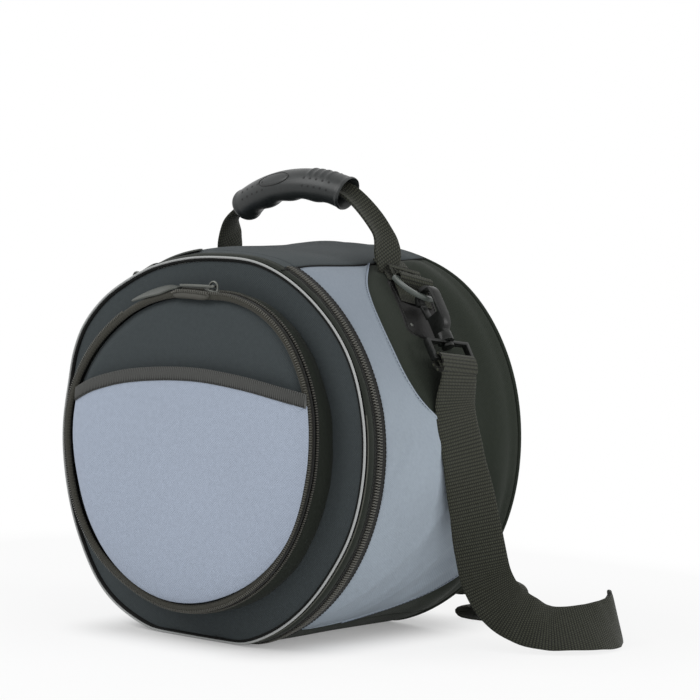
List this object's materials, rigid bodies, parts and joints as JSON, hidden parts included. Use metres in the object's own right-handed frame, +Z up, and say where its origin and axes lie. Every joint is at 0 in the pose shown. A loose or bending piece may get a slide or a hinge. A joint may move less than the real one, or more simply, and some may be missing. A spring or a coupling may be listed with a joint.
{
  "type": "cooler bag",
  "caption": "Round drum-shaped soft cooler bag with a zipped front lid, a zipped round pocket, a moulded carry grip and a webbing shoulder strap on swivel snap hooks.",
  "frame": {"origin": "middle of the flattened foot that the drum stands on", "axes": "+Z up, -Y towards the lid and its pocket, +X to the right seen from the front"},
  "size_m": [0.4189, 0.3189, 0.3563],
  "materials": {
    "black_fabric": "woven polyester, matt",
    "blue_fabric": "woven polyester, grey blue",
    "piping": "reflective grey piping",
    "binding": "ribbed grosgrain tape",
    "zip_tape": "coil zip on woven tape",
    "webbing": "woven webbing",
    "leatherette": "grained leatherette",
    "grip": "soft moulded grip",
    "grey_plastic": "satin",
    "black_plastic": "semi gloss",
    "zip_metal": "plated, dark nickel",
    "foam": "closed cell foam",
    "liner": "heat sealed film"
  },
  "bodies": {
    "body": {"side_panel_right": "blue_fabric", "rear_side_panel_right": "black_fabric", "side_panel_left": "blue_fabric", "rear_side_panel_left": "black_fabric", "top_panel": "black_fabric", "base_panel": "black_fabric", "foam_sleeve": "foam", "back_foam_disc": "foam", "liner_tub": "liner", "back_panel": "black_fabric", "back_piping": "binding", "main_zip_body_tape": "zip_tape", "handle_root_right": "webbing", "anchor_patch_right": "leatherette", "anchor_loop_right": "webbing", "handle_root_left": "webbing", "anchor_patch_left": "leatherette", "anchor_loop_left": "webbing", "strap_hanging_right": "webbing", "strap_floor_curl": "webbing", "strap_behind": "webbing", "strap_hanging_left": "webbing"},
    "lid": {"lid_gusset": "black_fabric", "lid_piping": "piping", "lid_front_panel": "black_fabric", "lid_foam_disc": "foam", "lid_liner_disc": "liner", "main_zip_lid_tape": "zip_tape", "lid_hinge_strip": "black_fabric", "pocket_gusset": "black_fabric", "pocket_zip_lid_tape": "zip_tape", "pocket_hinge_strip": "black_fabric"},
    "flap": {"pocket_zip_flap_tape": "zip_tape", "flap_welt": "black_fabric", "flap_panel": "black_fabric", "slip_pocket": "blue_fabric", "slip_pocket_binding": "binding"},
    "upper_slider": {"upper_slider": "zip_metal"},
    "upper_pull": {"upper_pull_rod": "zip_metal", "upper_pull_tab": "leatherette"},
    "lower_slider": {"lower_slider": "zip_metal"},
    "lower_pull": {"lower_pull_rod": "zip_metal", "lower_pull_tab": "leatherette"},
    "pocket_slider": {"pocket_slider": "zip_metal"},
    "pocket_pull": {"pocket_pull_rod": "zip_metal", "pocket_pull_tab": "leatherette"},
    "handle": {"handle_grip": "grip", "handle_webbing": "webbing"},
    "ring_right": {"d_ring_right": "grey_plastic"},
    "hook_right": {"hook_right": "black_plastic"},
    "gate_right": {"hook_gate_right": "black_plastic"},
    "base_right": {"hook_base_right": "black_plastic"},
    "ring_left": {"d_ring_left": "grey_plastic"},
    "hook_left": {"hook_left": "black_plastic"},
    "gate_left": {"hook_gate_left": "black_plastic"},
    "base_left": {"hook_base_left": "black_plastic"}
  },
  "joints": [
    {"name": "lid_hinge", "type": "hinge", "parent": "body", "child": "lid", "pos_m": [0, -0.07105, 0.29316], "axis": [-1, 0, 0], "range_deg": [0, 92]},
    {"name": "flap_hinge", "type": "hinge", "parent": "lid", "child": "flap", "pos_m": [-0.03972, -0.1213, 0.25839], "axis": [-0.9455, 0, -0.3256], "range_deg": [0, 80]},
    {"name": "upper_slider_travel", "type": "hinge", "parent": "lid", "child": "upper_slider", "pos_m": [0, -0.07595, 0.14345], "axis": [0, 1, 0], "range_deg": [0, 7]},
    {"name": "lower_slider_travel", "type": "hinge", "parent": "lid", "child": "lower_slider", "pos_m": [0, -0.07595, 0.14345], "axis": [0, 1, 0], "range_deg": [-292, 0]},
    {"name": "pocket_slider_travel", "type": "hinge", "parent": "lid", "child": "pocket_slider", "pos_m": [0, -0.11315, 0.14304], "axis": [0, 1, 0], "range_deg": [-11, 315]},
    {"name": "upper_pull_swing", "type": "hinge", "parent": "upper_slider", "child": "upper_pull", "pos_m": [-0.09196, -0.07595, 0.2679], "axis": [0, -1, 0], "range_deg": [0, 60]},
    {"name": "lower_pull_swing", "type": "hinge", "parent": "lower_slider", "child": "lower_pull", "pos_m": [-0.10658, -0.07595, 0.25562], "axis": [0, 1, 0], "range_deg": [0, 60]},
    {"name": "pocket_pull_swing", "type": "hinge", "parent": "pocket_slider", "child": "pocket_pull", "pos_m": [0.02118, -0.11315, 0.26901], "axis": [0, 1, 0], "range_deg": [0, 60]},
    {"name": "handle_tilt", "type": "hinge", "parent": "body", "child": "handle", "pos_m": [0, 0.02419, 0.29788], "axis": [1, 0, 0], "range_deg": [-78, 32]},
    {"name": "ring_tilt_right", "type": "hinge", "parent": "body", "child": "ring_right", "pos_m": [0.09611, 0.03, 0.27377], "axis": [-0.2981, -0.9277, 0.2246], "range_deg": [-2, 3]},
    {"name": "base_swing_right", "type": "hinge", "parent": "body", "child": "base_right", "pos_m": [0.14994, 0.01299, 0.2196], "axis": [-0.0825, -0.9903, 0.1117], "range_deg": [-1, 2]},
    {"name": "hook_swivel_right", "type": "hinge", "parent": "base_right", "child": "hook_right", "pos_m": [0.13675, 0.01613, 0.23768], "axis": [0.5836, -0.1388, -0.8001], "range_deg": [-3, 6]},
    {"name": "gate_right", "type": "hinge", "parent": "hook_right", "child": "gate_right", "pos_m": [0.12168, 0.0186, 0.2485], "axis": [0.0825, 0.9903, -0.1117], "range_deg": [0, 18], "stiffness_Nm_per_rad": 0.02},
    {"name": "ring_tilt_left", "type": "hinge", "parent": "body", "child": "ring_left", "pos_m": [-0.09611, 0.03, 0.27377], "axis": [-0.2981, 0.9277, -0.2246], "range_deg": [-2, 3]},
    {"name": "base_swing_left", "type": "hinge", "parent": "body", "child": "base_left", "pos_m": [-0.14994, 0.01299, 0.2196], "axis": [-0.0825, 0.9903, -0.1117], "range_deg": [-1, 2]},
    {"name": "hook_swivel_left", "type": "hinge", "parent": "base_left", "child": "hook_left", "pos_m": [-0.13675, 0.01613, 0.23768], "axis": [0.5836, 0.1388, 0.8001], "range_deg": [-3, 6]},
    {"name": "gate_left", "type": "hinge", "parent": "hook_left", "child": "gate_left", "pos_m": [-0.12168, 0.0186, 0.2485], "axis": [0.0825, -0.9903, 0.1117], "range_deg": [0, 18], "stiffness_Nm_per_rad": 0.02}
  ]
}
